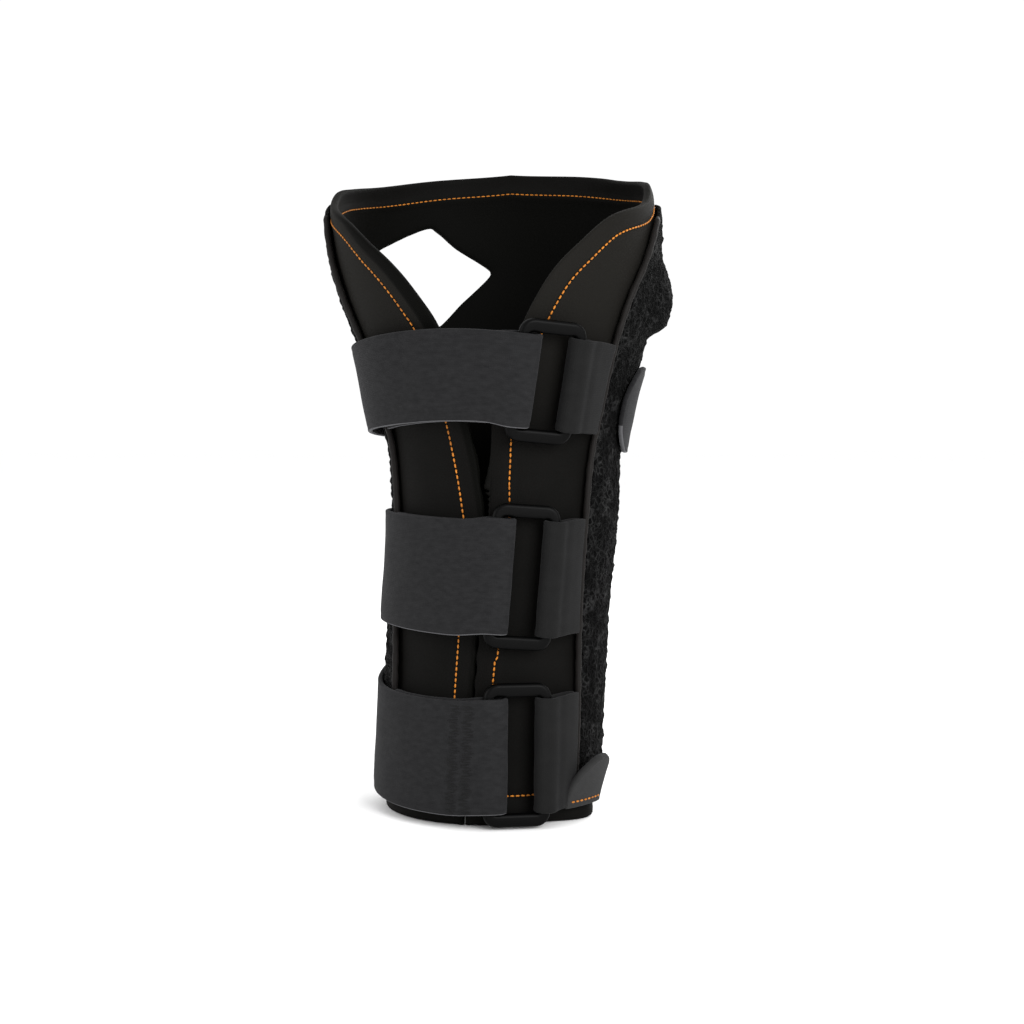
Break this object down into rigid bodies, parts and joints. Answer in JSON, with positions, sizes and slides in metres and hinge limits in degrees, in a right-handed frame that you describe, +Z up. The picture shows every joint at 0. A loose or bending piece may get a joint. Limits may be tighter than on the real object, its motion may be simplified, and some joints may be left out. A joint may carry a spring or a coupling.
{
  "type": "wrist support",
  "caption": "Black wrist and forearm brace: a padded wrap with a thumb hole, closed at the front by elastic straps that run through plastic rings.",
  "frame": {"origin": "middle of the footprint, on the floor under the forearm end", "axes": "+Z up along the forearm to the hand end, -Y towards the lengthwise front gap with the straps, +X to the side of the rings"},
  "size_m": [0.1128, 0.1044, 0.213],
  "materials": {
    "smooth_cloth": "matt",
    "loop_pile": "matt pile",
    "strap_elastic": "matt woven",
    "loop_elastic": "matt woven",
    "tab_elastic": "matt woven",
    "ring_plastic": "satin"
  },
  "bodies": {
    "root": {"wrap": "smooth_cloth", "pile_panel": "loop_pile", "left_piping": "smooth_cloth", "right_piping": "smooth_cloth", "hand_strap": "strap_elastic", "wrist_strap": "strap_elastic", "arm_strap": "strap_elastic", "hand_ring_loop": "loop_elastic", "wrist_ring_loop": "loop_elastic", "arm_ring_loop": "loop_elastic", "hand_ring": "ring_plastic", "wrist_ring": "ring_plastic", "arm_ring": "ring_plastic", "pull_tab": "tab_elastic"}
  },
  "joints": []
}
